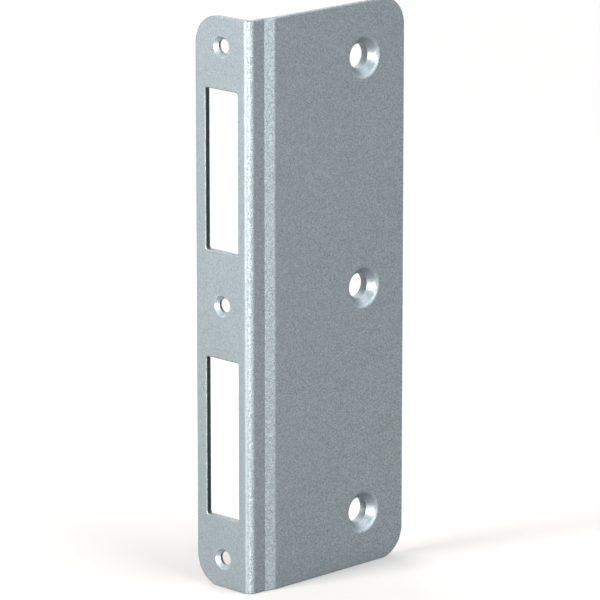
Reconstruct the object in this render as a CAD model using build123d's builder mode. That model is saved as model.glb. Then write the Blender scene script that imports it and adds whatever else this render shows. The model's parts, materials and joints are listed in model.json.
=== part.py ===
from build123d import *
import os
from math import cos, radians, tan

# Angled strike plate for a door frame: one steel sheet, folded along its length
# into a narrow and a wide leg. The wide leg has a joggle and dimpled screw holes,
# the narrow leg has two openings and flat countersunk holes.
# +X runs along the wide leg to its free edge, +Y along the narrow leg to its free
# edge and +Z up the plate. The plan box is centred on the Z axis and the plate
# stands on Z = 0. It is symmetric about mid-height. Millimetres and degrees.

# Sheet
plate_length = 225.0
sheet = 2.5
corner_radius = 11.5
edge_radius = 0.4

# Fold: each leg is measured from the other leg's outer face to its free edge
wide_leg = 83.5
narrow_leg = 29.0
fold_inner_radius = 0.3

# Joggle: an S-bend near the fold that carries the wide leg's panel outwards
joggle_start = 8.2
joggle_run = 4.4
joggle_step = 1.4
joggle_inner_radius = 0.5

# Openings for the latch and for the bolt, on the narrow leg's centre line
narrow_centre_line = 14.9
opening_width = 17.5
opening_height = 63.0
opening_pitch = 105.5
opening_corner_radius = 1.0
openings_in_line = 2

# Countersunk holes of the narrow leg, above, between and below the openings
small_hole_radius = 2.75
small_head_radius = 4.2
small_hole_to_end = 11.5
holes_in_line = 3

# Dimpled holes of the wide leg: the sheet is pressed into a cone for the screw
# head, so the bore continues through a collar that stands out of the back
large_hole_line = 61.0
large_hole_radius = 5.0
large_head_radius = 8.0
large_hole_to_end = 21.5
head_angle = 90.0
collar_land = 0.3
dimple_lip_radius = 2.0

# Values that follow from those above
fold_outer_radius = fold_inner_radius + sheet
joggle_outer_radius = joggle_inner_radius + sheet
joggle_end = joggle_start + joggle_run
fold_x = -wide_leg / 2
fold_y = -(narrow_leg - joggle_step) / 2
small_hole_pitch = plate_length / 2 - small_hole_to_end
large_hole_pitch = plate_length / 2 - large_hole_to_end
half_head_angle = radians(head_angle / 2)
cone_back_radius = large_head_radius + sheet * (1 / cos(half_head_angle) - tan(half_head_angle))
collar_end_radius = large_hole_radius + collar_land
collar_height = (cone_back_radius - collar_end_radius) / tan(half_head_angle)
dimple_depth = sheet + collar_height

# Working planes: the section at the foot, then each leg's outer face at mid-height
foot_plane = Plane(origin=(fold_x, fold_y, 0))
wide_face = Plane(
    origin=(fold_x, fold_y - joggle_step, plate_length / 2), x_dir=(1, 0, 0), z_dir=(0, -1, 0)
)
narrow_face = Plane(
    origin=(fold_x, fold_y, plate_length / 2), x_dir=(0, -1, 0), z_dir=(-1, 0, 0)
)

with BuildPart() as strike_plate:
    # The folded and joggled section, at one sheet thickness throughout
    with BuildSketch(foot_plane):
        with BuildLine():
            FilletPolyline(
                (0, narrow_leg),
                (0, 0),
                (joggle_start, 0),
                (joggle_end, -joggle_step),
                (wide_leg, -joggle_step),
                radius=[fold_outer_radius, joggle_inner_radius, joggle_outer_radius],
            )
            offset(amount=sheet, side=Side.LEFT)
        make_face()
    extrude(amount=plate_length)

    # The free corners of both legs
    narrow_end = strike_plate.faces().sort_by(Axis.Y)[-1]
    wide_end = strike_plate.faces().sort_by(Axis.X)[-1]
    free_corners = narrow_end.edges().filter_by(Axis.X) + wide_end.edges().filter_by(Axis.Y)
    fillet(free_corners, radius=corner_radius)

    # The two openings
    with BuildSketch(narrow_face):
        with Locations((-narrow_centre_line, 0)):
            with GridLocations(0, opening_pitch, 1, openings_in_line):
                RectangleRounded(opening_width, opening_height, opening_corner_radius)
    extrude(amount=-sheet, mode=Mode.SUBTRACT)
    opening_edges = strike_plate.edges(Select.LAST).filter_by(Axis.Z)

    # The rounded rim, which runs on from these edges round the blank and the openings
    blank_edges = strike_plate.edges().filter_by(Axis.Z).group_by(Axis.Y)[-1]
    fillet(blank_edges + opening_edges, radius=edge_radius)

    # The backs of the dimples
    with Locations(wide_face.offset(-dimple_depth)):
        with Locations((large_hole_line, 0)):
            with GridLocations(0, large_hole_pitch, 1, holes_in_line):
                Cone(
                    bottom_radius=collar_end_radius,
                    top_radius=cone_back_radius,
                    height=collar_height,
                    align=(Align.CENTER, Align.CENTER, Align.MIN),
                )

    # The heads and bores of the dimples
    with Locations(wide_face):
        with Locations((large_hole_line, 0)):
            with GridLocations(0, large_hole_pitch, 1, holes_in_line):
                CounterSinkHole(
                    radius=large_hole_radius,
                    counter_sink_radius=large_head_radius,
                    depth=dimple_depth,
                    counter_sink_angle=head_angle,
                )
    dimple_lips = (
        strike_plate.edges(Select.LAST).filter_by(GeomType.CIRCLE).group_by(SortBy.RADIUS)[-1]
    )
    fillet(dimple_lips, radius=dimple_lip_radius)

    # The countersunk holes of the narrow leg
    with Locations(narrow_face):
        with Locations((-narrow_centre_line, 0)):
            with GridLocations(0, small_hole_pitch, 1, holes_in_line):
                CounterSinkHole(
                    radius=small_hole_radius,
                    counter_sink_radius=small_head_radius,
                    depth=sheet,
                    counter_sink_angle=head_angle,
                )

strike_plate.part.label = "strike_plate"

os.makedirs("parts", exist_ok=True)
export_step(strike_plate.part, "parts/strike_plate.step")
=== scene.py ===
import json
import math
from typing import NamedTuple

import bpy
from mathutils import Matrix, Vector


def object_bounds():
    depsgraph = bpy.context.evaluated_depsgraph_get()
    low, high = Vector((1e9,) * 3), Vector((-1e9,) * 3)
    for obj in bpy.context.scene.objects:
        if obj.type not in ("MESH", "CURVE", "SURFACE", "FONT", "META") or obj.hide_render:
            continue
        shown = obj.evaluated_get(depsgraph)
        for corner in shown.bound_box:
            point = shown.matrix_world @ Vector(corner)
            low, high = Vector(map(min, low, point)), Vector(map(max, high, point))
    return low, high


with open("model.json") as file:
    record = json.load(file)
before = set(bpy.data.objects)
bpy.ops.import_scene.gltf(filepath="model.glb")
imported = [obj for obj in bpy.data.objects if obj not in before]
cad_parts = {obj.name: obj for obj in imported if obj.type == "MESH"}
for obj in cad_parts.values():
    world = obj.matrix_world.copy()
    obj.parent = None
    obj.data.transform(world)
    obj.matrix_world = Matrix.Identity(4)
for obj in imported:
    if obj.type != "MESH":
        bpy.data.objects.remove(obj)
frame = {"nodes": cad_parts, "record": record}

bl_info = {
    "name": "Door strike plate",
    "version": (1, 0, 0),
    "blender": (4, 5, 0),
    "location": "3D View > Sidebar > Strike plate",
    "description": "Lacquers an angled door strike plate and sets it in a pale studio",
    "category": "Object",
}

# Units and directions are those of the plate: metres, Z up along its length, the wide
# leg's face towards -Y and the narrow leg's face towards -X.
MM = 0.001
X, Y, Z = range(3)
CAD_LOW, CAD_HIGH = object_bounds()
PLATE = frame["nodes"]["strike_plate"]
MOUNTS = {mount["name"]: mount for mount in frame["record"]["mounts"]}

# The sheet, and the narrow leg's two openings
SHEET = 2.5 * MM
RIM_RADIUS = 0.4 * MM
OPENING_WIDTH = 17.5 * MM
OPENING_HEIGHT = 63.0 * MM
OPENING_PITCH = 105.5 * MM


class ScrewRow(NamedTuple):
    """The countersunk holes of one leg: two outer ones and one halfway between them."""

    mount: str  # of the outer two
    across: int  # axis across the row
    inwards: int  # axis into the sheet
    mouth_radius: float  # with the rounded lip
    cone_depth: float
    painted_highlight: float  # how much paler than the sheet its cones are painted, a painted highlight, from 0 to 1


SCREW_ROWS = (
    ScrewRow(
        mount="wide_leg_screws",
        across=X,
        inwards=Y,
        mouth_radius=8.6 * MM,
        cone_depth=3.0 * MM,
        painted_highlight=0.3,
    ),
    ScrewRow(
        mount="narrow_leg_screws",
        across=Y,
        inwards=X,
        mouth_radius=4.3 * MM,
        cone_depth=1.45 * MM,
        painted_highlight=1.0,
    ),
)

# Lacquer: the grain is how far a cluster of flake is paler or darker than the sheet
GRAIN = 0.35
EVEN_FACE_GRAIN = 0.15
EVEN_FACE_LEAN = 0.35
SPRAY_PATCH = 30 * MM
SPRAY_DRIFT = 0.04
# Painted shade on the cut sides of the openings
OPENING_PAINTED_SHADE = 0.45
# Painted highlight on the cones of the screw holes
CONE_PAINTED_HIGHLIGHT = 1.6
PEEL_PITCH = 1.4 * MM
PEEL_HEIGHT = 0.02 * MM
PEEL_STRENGTH = 0.5
ROUGHNESS_SPREAD = 0.05

# Studio. The sensor is in millimetres, as Blender has it.
WHITE = (1.0, 1.0, 1.0, 1.0)
WARM_WHITE = "#FFFAF6"
FLOOR_LIT = "#949494"
FLOOR_SEEN = "#BCBCBC"
FLOOR_RADIUS = 30.0
SHADOW_RADIUS = 0.5
SOFTBOX_DISTANCE = 4.0
SENSOR_WIDTH = 36.0


class UprightSoftbox(NamedTuple):
    """A softbox that stands facing the plate."""

    name: str
    azimuth: float  # degrees from -Y towards -X
    width: float
    bottom: float
    top: float


UPRIGHT_SOFTBOXES = (
    UprightSoftbox("front_light", azimuth=0, width=1.4, bottom=0.0, top=0.6),
    UprightSoftbox("key_light", azimuth=44, width=1.8, bottom=0.0, top=0.6),
    UprightSoftbox("side_light", azimuth=100, width=1.5, bottom=0.3, top=1.8),
    UprightSoftbox("right_light", azimuth=-112, width=2.4, bottom=0.3, top=1.8),
)


class HighSoftbox(NamedTuple):
    """A far round softbox above the plate."""

    name: str
    azimuth: float  # degrees from -Y towards -X
    elevation: float  # degrees above the floor
    spread: float  # degrees across, seen from the plate


HIGH_SOFTBOXES = (
    HighSoftbox("rear_light", azimuth=194, elevation=32, spread=60),
    HighSoftbox("top_light", azimuth=-25, elevation=42, spread=60),
)


def linear_colour(hex_code):
    """Turns an sRGB hex code such as #A0A8AC into linear red, green, blue and a full alpha."""
    channels = [int(hex_code[i:i + 2], 16) / 255 for i in (1, 3, 5)]
    linear = [c / 12.92 if c <= 0.04045 else ((c + 0.055) / 1.055) ** 2.4 for c in channels]
    return (*linear, 1.0)


def add_node(tree, kind, inputs=None, **settings):
    """Adds a node with its settings, and fills its inputs with values or other nodes' outputs."""
    made = tree.nodes.new(kind)
    for name, value in settings.items():
        setattr(made, name, value)
    for socket, value in (inputs or {}).items():
        if isinstance(value, bpy.types.NodeSocket):
            tree.links.new(value, made.inputs[socket])
        else:
            made.inputs[socket].default_value = value
    return made


class LacquerSettings(bpy.types.PropertyGroup):
    """The plate's silver lacquer."""

    colour: bpy.props.StringProperty(
        name="Lacquer colour",
        description="sRGB hex code of the dried lacquer",
        default="#6C7579",
    )
    metallic: bpy.props.FloatProperty(
        name="Metal share",
        description="Share of the surface that is aluminium flake instead of binder",
        default=0.95,
        min=0.0,
        max=1.0,
        subtype="FACTOR",
    )
    roughness: bpy.props.FloatProperty(
        name="Roughness",
        description="Satin sheen of the lacquer",
        default=0.48,
        min=0.0,
        max=1.0,
        subtype="FACTOR",
    )
    flake_pitch: bpy.props.FloatProperty(
        name="Flake pitch",
        description="Distance between the clusters of flake that show",
        default=0.36 * MM,
        min=0.05 * MM,
        precision=5,
        subtype="DISTANCE",
        unit="LENGTH",
    )
    flake_tilt: bpy.props.FloatProperty(
        name="Flake tilt",
        description="How far the flake clusters lean from the sheet, as a share of its normal",
        default=0.18,
        min=0.0,
        max=1.0,
    )


class StudioSettings(bpy.types.PropertyGroup):
    """Camera and light."""

    eye_right: bpy.props.FloatProperty(
        name="Eye X",
        description="The camera's place along X",
        default=-1.3335,
        subtype="DISTANCE",
        unit="LENGTH",
    )
    eye_back: bpy.props.FloatProperty(
        name="Eye Y",
        description="The camera's place along Y",
        default=-1.3211,
        subtype="DISTANCE",
        unit="LENGTH",
    )
    eye_height: bpy.props.FloatProperty(
        name="Eye height",
        description="Camera above the floor",
        default=0.5673,
        subtype="DISTANCE",
        unit="LENGTH",
    )
    yaw: bpy.props.FloatProperty(
        name="Yaw",
        description="Turn of the view from +Y towards +X",
        default=math.radians(45.258),
        subtype="ANGLE",
    )
    pitch: bpy.props.FloatProperty(
        name="Pitch",
        description="Tilt of the view below the horizon",
        default=math.radians(13.753),
        subtype="ANGLE",
    )
    lens: bpy.props.FloatProperty(
        name="Lens",
        description="Focal length on a 36 mm sensor",
        default=298.2,
        subtype="DISTANCE_CAMERA",
    )
    front_light: bpy.props.FloatProperty(
        name="Front light",
        description="Brightness of the low strip that the joggle reflects",
        default=38.0,
        min=0.0,
    )
    key_light: bpy.props.FloatProperty(
        name="Key light",
        description="Brightness of the low strip that the folded corner reflects",
        default=75.0,
        min=0.0,
    )
    side_light: bpy.props.FloatProperty(
        name="Side light",
        description="Brightness of the softbox beside the narrow leg",
        default=77.0,
        min=0.0,
    )
    right_light: bpy.props.FloatProperty(
        name="Right light",
        description="Brightness of the softbox beside the wide leg's free edge",
        default=6.0,
        min=0.0,
    )
    rear_light: bpy.props.FloatProperty(
        name="Rear light",
        description="Brightness of the high softbox behind, for the cut edges",
        default=3.2,
        min=0.0,
    )
    top_light: bpy.props.FloatProperty(
        name="Top light",
        description="Brightness of the high softbox in front, for the countersinks",
        default=3.6,
        min=0.0,
    )
    room_level: bpy.props.FloatProperty(
        name="Room level",
        description="Soft light that the room's walls send back",
        default=0.3,
        min=0.0,
    )


def silver_lacquer(settings):
    """Silver lacquer sprayed and baked on sheet steel.

    Aluminium flake in a clear binder gives a satin grey that turns bright where the
    sheet bends towards the light, with a fine sparkle. A real flake is about 0.04 mm
    across, too fine to show here, so clusters of flake are drawn at the flake pitch.
    The narrow leg and the screw holes are more even, with less grain and sparkle.
    """
    material = bpy.data.materials.new("silver_lacquered_steel")
    material.use_nodes = True
    tree = material.node_tree
    tree.nodes.clear()

    place = add_node(tree, "ShaderNodeTexCoord").outputs["Object"]
    sheet_normal = add_node(tree, "ShaderNodeNewGeometry").outputs["Normal"]
    facing = add_node(tree, "ShaderNodeSeparateXYZ", {"Vector": sheet_normal})
    screw_holes, cones = screw_hole_masks(tree, place)
    even_faces = add_node(
        tree,
        "ShaderNodeMath",
        {0: screw_holes, 1: narrow_leg_mask(tree, facing)},
        operation="MAXIMUM",
    ).outputs["Value"]

    flake = add_node(
        tree,
        "ShaderNodeTexVoronoi",
        {"Vector": place, "Scale": 1 / settings.flake_pitch},
        feature="F1",
    )
    flake_value = add_node(tree, "ShaderNodeSeparateColor", {"Color": flake.outputs["Color"]})

    # Colour: flake to flake, then the slow drift of the spray over the sheet
    darkest = add_node(
        tree,
        "ShaderNodeMapRange",
        {"Value": even_faces, "To Min": 1 - GRAIN, "To Max": 1 - EVEN_FACE_GRAIN},
    )
    palest = add_node(
        tree,
        "ShaderNodeMapRange",
        {"Value": even_faces, "To Min": 1 + GRAIN, "To Max": 1 + EVEN_FACE_GRAIN},
    )
    flake_shade = add_node(
        tree,
        "ShaderNodeMapRange",
        {
            "Value": flake_value.outputs["Red"],
            "To Min": darkest.outputs["Result"],
            "To Max": palest.outputs["Result"],
        },
    )
    spray = add_node(
        tree, "ShaderNodeTexNoise", {"Vector": place, "Scale": 1 / SPRAY_PATCH, "Detail": 3.0}
    )
    spray_shade = add_node(
        tree,
        "ShaderNodeMapRange",
        {"Value": spray.outputs["Fac"], "To Min": 1 - SPRAY_DRIFT, "To Max": 1 + SPRAY_DRIFT},
    )
    # Painted shade: the upright punched sides of the openings, where shade falls, are painted
    # darker
    opening_painted_shade = add_node(
        tree,
        "ShaderNodeMapRange",
        {
            "Value": painted_opening_shade_mask(tree, place, facing),
            "To Min": 1.0,
            "To Max": OPENING_PAINTED_SHADE,
        },
    )
    # Painted highlight: the cones of the screw holes are painted paler, more on the narrow leg
    # than on the wide leg
    cone_painted_highlight = add_node(
        tree, "ShaderNodeMapRange", {"Value": cones, "To Min": 1.0, "To Max": CONE_PAINTED_HIGHLIGHT}
    )
    shade = flake_shade.outputs["Result"]
    for layer in (spray_shade, opening_painted_shade, cone_painted_highlight):
        shade = add_node(
            tree, "ShaderNodeMath", {0: shade, 1: layer.outputs["Result"]}, operation="MULTIPLY"
        ).outputs["Value"]
    shaded = add_node(
        tree,
        "ShaderNodeVectorMath",
        {0: linear_colour(settings.colour)[:3], "Scale": shade},
        operation="SCALE",
    )

    # Sparkle: each flake cluster leans its own way, least on the even faces
    lean = add_node(
        tree,
        "ShaderNodeVectorMath",
        {0: flake.outputs["Color"], 1: (0.5, 0.5, 0.5)},
        operation="SUBTRACT",
    )
    lean_share = add_node(
        tree,
        "ShaderNodeMapRange",
        {
            "Value": even_faces,
            "To Min": settings.flake_tilt,
            "To Max": EVEN_FACE_LEAN * settings.flake_tilt,
        },
    )
    leaning = add_node(
        tree,
        "ShaderNodeVectorMath",
        {0: lean.outputs["Vector"], "Scale": lean_share.outputs["Result"]},
        operation="SCALE",
    )
    tilted = add_node(
        tree,
        "ShaderNodeVectorMath",
        {0: sheet_normal, 1: leaning.outputs["Vector"]},
        operation="ADD",
    )
    flake_normal = add_node(
        tree, "ShaderNodeVectorMath", {0: tilted.outputs["Vector"]}, operation="NORMALIZE"
    )

    # Orange peel of the lacquer
    peel = add_node(
        tree, "ShaderNodeTexNoise", {"Vector": place, "Scale": 1 / PEEL_PITCH, "Detail": 2.0}
    )
    peel_bump = add_node(
        tree,
        "ShaderNodeBump",
        {
            "Height": peel.outputs["Fac"],
            "Distance": PEEL_HEIGHT,
            "Strength": PEEL_STRENGTH,
            "Normal": flake_normal.outputs["Vector"],
        },
    )

    roughness = add_node(
        tree,
        "ShaderNodeMapRange",
        {
            "Value": flake_value.outputs["Green"],
            "To Min": settings.roughness - ROUGHNESS_SPREAD,
            "To Max": settings.roughness + ROUGHNESS_SPREAD,
        },
    )
    lacquer = add_node(
        tree,
        "ShaderNodeBsdfPrincipled",
        {
            "Base Color": shaded.outputs["Vector"],
            "Metallic": settings.metallic,
            "Roughness": roughness.outputs["Result"],
            "Normal": peel_bump.outputs["Normal"],
        },
    )
    add_node(tree, "ShaderNodeOutputMaterial", {"Surface": lacquer.outputs["BSDF"]})
    return material


def narrow_leg_mask(tree, facing):
    """Output that is 1 on the narrow leg and falls to 0 over its side of the fold."""
    # How far the sheet faces sideways there, as the X of its normal
    fold_end = 0.95
    fold_middle = 0.75
    sideways = add_node(tree, "ShaderNodeMath", {0: facing.outputs[X]}, operation="ABSOLUTE")
    mask = add_node(
        tree,
        "ShaderNodeMapRange",
        {"Value": sideways.outputs["Value"], "From Min": fold_middle, "From Max": fold_end},
    )
    return mask.outputs["Result"]


def painted_opening_shade_mask(tree, place, facing):
    """Output that is 1 on the upright cut sides of the two openings, where shade is painted, and 0
    elsewhere.
    """
    blend = 0.1 * MM
    middle = MOUNTS["narrow_leg_middle_screw"]["pos_m"]
    centre = (CAD_LOW.x + SHEET / 2, middle[Y], middle[Z])
    half_box = (
        SHEET / 2 - RIM_RADIUS,
        OPENING_WIDTH / 2 + RIM_RADIUS,
        OPENING_HEIGHT / 2 + RIM_RADIUS,
    )
    offset = add_node(tree, "ShaderNodeVectorMath", {0: place, 1: centre}, operation="SUBTRACT")
    away = add_node(
        tree, "ShaderNodeVectorMath", {0: offset.outputs["Vector"]}, operation="ABSOLUTE"
    )
    # Both openings are the same distance from mid-height, so this folds them onto one
    one_opening = add_node(
        tree,
        "ShaderNodeVectorMath",
        {0: away.outputs["Vector"], 1: (0.0, 0.0, OPENING_PITCH / 2)},
        operation="SUBTRACT",
    )
    reach = add_node(
        tree, "ShaderNodeVectorMath", {0: one_opening.outputs["Vector"]}, operation="ABSOLUTE"
    )
    inside = add_node(
        tree,
        "ShaderNodeVectorMath",
        {0: half_box, 1: reach.outputs["Vector"]},
        operation="SUBTRACT",
    )
    depth = add_node(tree, "ShaderNodeSeparateXYZ", {"Vector": inside.outputs["Vector"]})
    least = depth.outputs[X]
    for axis in (Y, Z):
        least = add_node(
            tree, "ShaderNodeMath", {0: least, 1: depth.outputs[axis]}, operation="MINIMUM"
        ).outputs["Value"]
    cut = add_node(tree, "ShaderNodeMapRange", {"Value": least, "From Max": blend})
    upright = add_node(tree, "ShaderNodeMath", {0: facing.outputs[Y]}, operation="ABSOLUTE")
    side = add_node(
        tree,
        "ShaderNodeMath",
        {0: cut.outputs["Result"], 1: upright.outputs["Value"]},
        operation="MULTIPLY",
    )
    return side.outputs["Value"]


def screw_hole_masks(tree, place):
    """Two outputs: 1 inside the screw holes of both legs, and the painted highlight of their
    cones.

    The second is 0 in the bores and on the open sheet.
    """
    mouth_blend = 0.4 * MM
    cone_blend = 0.1 * MM
    local = add_node(tree, "ShaderNodeSeparateXYZ", {"Vector": place})
    holes = []
    cones = []
    for row in SCREW_ROWS:
        mount = MOUNTS[row.mount]
        half_row = mount["dims"]["spacing_y_mm"] * MM / 2
        centre = mount["pos_m"]
        sideways = add_node(
            tree,
            "ShaderNodeMath",
            {0: local.outputs[row.across], 1: centre[row.across]},
            operation="SUBTRACT",
        )
        upwards = add_node(
            tree, "ShaderNodeMath", {0: local.outputs[Z], 1: centre[Z]}, operation="SUBTRACT"
        )
        # The row repeats every half row, so wrapping the height folds its holes onto one
        folded = add_node(
            tree,
            "ShaderNodeMath",
            {0: upwards.outputs["Value"], 1: half_row / 2, 2: -half_row / 2},
            operation="WRAP",
        )
        flat = add_node(
            tree,
            "ShaderNodeCombineXYZ",
            {X: sideways.outputs["Value"], Y: folded.outputs["Value"]},
        )
        distance = add_node(
            tree, "ShaderNodeVectorMath", {0: flat.outputs["Vector"]}, operation="LENGTH"
        )
        hole = add_node(
            tree,
            "ShaderNodeMapRange",
            {
                "Value": distance.outputs["Value"],
                "From Min": row.mouth_radius - mouth_blend,
                "From Max": row.mouth_radius + mouth_blend,
                "To Min": 1.0,
                "To Max": 0.0,
            },
            interpolation_type="SMOOTHSTEP",
        )
        cone_end = CAD_LOW[row.inwards] + row.cone_depth
        painted_highlight = add_node(
            tree,
            "ShaderNodeMapRange",
            {
                "Value": local.outputs[row.inwards],
                "From Min": cone_end - cone_blend,
                "From Max": cone_end,
                "To Min": row.painted_highlight,
                "To Max": 0.0,
            },
        )
        cone = add_node(
            tree,
            "ShaderNodeMath",
            {0: hole.outputs["Result"], 1: painted_highlight.outputs["Result"]},
            operation="MULTIPLY",
        )
        holes.append(hole.outputs["Result"])
        cones.append(cone.outputs["Value"])
    all_holes = add_node(tree, "ShaderNodeMath", {0: holes[0], 1: holes[1]}, operation="MAXIMUM")
    all_cones = add_node(tree, "ShaderNodeMath", {0: cones[0], 1: cones[1]}, operation="MAXIMUM")
    return all_holes.outputs["Value"], all_cones.outputs["Value"]


def seen_directly(tree):
    """Output that is 1 for camera, glossy and transmission rays, and 0 for soft light."""
    path = add_node(tree, "ShaderNodeLightPath")
    shiny = add_node(
        tree,
        "ShaderNodeMath",
        {0: path.outputs["Is Glossy Ray"], 1: path.outputs["Is Transmission Ray"]},
        operation="MAXIMUM",
    )
    seen = add_node(
        tree,
        "ShaderNodeMath",
        {0: path.outputs["Is Camera Ray"], 1: shiny.outputs["Value"]},
        operation="MAXIMUM",
    )
    return seen.outputs["Value"]


def studio_floor():
    """A wide pale floor under the plate.

    It is paler where it is seen than in the soft light that it sends back. Far from the
    plate the seen floor runs out into the white background, so no horizon shows.
    """
    bpy.ops.mesh.primitive_circle_add(
        vertices=64, radius=FLOOR_RADIUS, fill_type="NGON", location=(0, 0, CAD_LOW.z)
    )
    floor = bpy.context.object
    floor.name = "studio_floor"
    material = bpy.data.materials.new("pale_studio_floor")
    material.use_nodes = True
    tree = material.node_tree
    tree.nodes.clear()
    seen = seen_directly(tree)
    paint = add_node(
        tree,
        "ShaderNodeMix",
        {0: seen, 6: linear_colour(FLOOR_LIT), 7: linear_colour(FLOOR_SEEN)},
        data_type="RGBA",
    )
    matt = add_node(tree, "ShaderNodeBsdfDiffuse", {"Color": paint.outputs[2]})
    place = add_node(tree, "ShaderNodeTexCoord").outputs["Object"]
    distance = add_node(tree, "ShaderNodeVectorMath", {0: place}, operation="LENGTH")
    far = add_node(
        tree,
        "ShaderNodeMapRange",
        {
            "Value": distance.outputs["Value"],
            "From Min": SHADOW_RADIUS,
            "From Max": 3 * SHADOW_RADIUS,
        },
        interpolation_type="SMOOTHSTEP",
    )
    far_and_seen = add_node(
        tree, "ShaderNodeMath", {0: far.outputs["Result"], 1: seen}, operation="MULTIPLY"
    )
    background = add_node(tree, "ShaderNodeEmission", {"Color": WHITE, "Strength": 1.0})
    ground = add_node(
        tree,
        "ShaderNodeMixShader",
        {
            0: far_and_seen.outputs["Value"],
            1: matt.outputs["BSDF"],
            2: background.outputs["Emission"],
        },
    )
    add_node(tree, "ShaderNodeOutputMaterial", {"Surface": ground.outputs["Shader"]})
    floor.data.materials.append(material)


def studio_room(level):
    """A white background, which sends the given level of soft light back to the plate."""
    world = bpy.data.worlds.new("studio_room")
    world.use_nodes = True
    tree = world.node_tree
    tree.nodes.clear()
    brightness = add_node(
        tree, "ShaderNodeMapRange", {"Value": seen_directly(tree), "To Min": level, "To Max": 1.0}
    )
    air = add_node(
        tree,
        "ShaderNodeBackground",
        {"Color": WHITE, "Strength": brightness.outputs["Result"]},
    )
    add_node(tree, "ShaderNodeOutputWorld", {"Surface": air.outputs["Background"]})
    bpy.context.scene.world = world


def add_upright_softbox(box, brightness):
    """Stands a softbox round the plate. At a brightness of 1 it is as bright as the background."""
    lamp = bpy.data.lights.new(box.name, "AREA")
    lamp.color = linear_colour(WARM_WHITE)[:3]
    lamp.shape = "RECTANGLE"
    lamp.size = box.width
    lamp.size_y = box.top - box.bottom
    lamp.energy = math.pi * lamp.size * lamp.size_y * brightness
    holder = bpy.data.objects.new(box.name, lamp)
    turn = math.radians(box.azimuth)
    holder.location = (
        -SOFTBOX_DISTANCE * math.sin(turn),
        -SOFTBOX_DISTANCE * math.cos(turn),
        (box.bottom + box.top) / 2,
    )
    holder.rotation_euler = (math.pi / 2, 0.0, -turn)
    holder.visible_camera = False
    bpy.context.scene.collection.objects.link(holder)


def add_high_softbox(box, brightness):
    """Hangs a softbox above the plate. At a brightness of 1 it is as bright as the background."""
    lamp = bpy.data.lights.new(box.name, "SUN")
    lamp.angle = math.radians(box.spread)
    lamp.energy = math.pi * math.sin(lamp.angle / 2) ** 2 * brightness
    holder = bpy.data.objects.new(box.name, lamp)
    holder.rotation_euler = (
        math.pi / 2 - math.radians(box.elevation),
        0.0,
        -math.radians(box.azimuth),
    )
    bpy.context.scene.collection.objects.link(holder)


def studio_camera(settings):
    """The camera, tilted down at the plate."""
    camera = bpy.data.cameras.new("studio_camera")
    camera.lens = settings.lens
    camera.sensor_width = SENSOR_WIDTH
    holder = bpy.data.objects.new("studio_camera", camera)
    holder.location = (settings.eye_right, settings.eye_back, settings.eye_height)
    holder.rotation_euler = (math.pi / 2 - settings.pitch, 0.0, -settings.yaw)
    bpy.context.scene.collection.objects.link(holder)
    bpy.context.scene.camera = holder


class STRIKEPLATE_OT_lacquer(bpy.types.Operator):
    """Lacquer the folded sheet"""

    bl_idname = "strikeplate.lacquer"
    bl_label = "Lacquer the plate"

    def execute(self, context):
        material = silver_lacquer(context.scene.strikeplate_lacquer)
        for slot in PLATE.material_slots:
            slot.material = material
        return {"FINISHED"}


class STRIKEPLATE_OT_studio(bpy.types.Operator):
    """Build the floor, the light and the camera"""

    bl_idname = "strikeplate.studio"
    bl_label = "Set up the studio"

    def execute(self, context):
        settings = context.scene.strikeplate_studio
        studio_floor()
        studio_room(settings.room_level)
        for box in UPRIGHT_SOFTBOXES:
            add_upright_softbox(box, getattr(settings, box.name))
        for box in HIGH_SOFTBOXES:
            add_high_softbox(box, getattr(settings, box.name))
        studio_camera(settings)
        context.scene.view_settings.view_transform = "Standard"
        return {"FINISHED"}


class STRIKEPLATE_PT_panel(bpy.types.Panel):
    """Lists the settings and the steps"""

    bl_idname = "STRIKEPLATE_PT_panel"
    bl_label = "Strike plate"
    bl_space_type = "VIEW_3D"
    bl_region_type = "UI"
    bl_category = "Strike plate"

    def draw(self, context):
        for settings, step in (
            (context.scene.strikeplate_lacquer, STRIKEPLATE_OT_lacquer),
            (context.scene.strikeplate_studio, STRIKEPLATE_OT_studio),
        ):
            box = self.layout.box()
            for name in settings.bl_rna.properties.keys():
                if name not in ("rna_type", "name"):
                    box.prop(settings, name)
            box.operator(step.bl_idname)


CLASSES = (
    LacquerSettings,
    StudioSettings,
    STRIKEPLATE_OT_lacquer,
    STRIKEPLATE_OT_studio,
    STRIKEPLATE_PT_panel,
)


def register():
    for cls in CLASSES:
        bpy.utils.register_class(cls)
    bpy.types.Scene.strikeplate_lacquer = bpy.props.PointerProperty(type=LacquerSettings)
    bpy.types.Scene.strikeplate_studio = bpy.props.PointerProperty(type=StudioSettings)


def unregister():
    del bpy.types.Scene.strikeplate_studio
    del bpy.types.Scene.strikeplate_lacquer
    for cls in reversed(CLASSES):
        bpy.utils.unregister_class(cls)


def main():
    register()
    bpy.ops.strikeplate.lacquer()
    bpy.ops.strikeplate.studio()


if __name__ == "__main__":
    main()
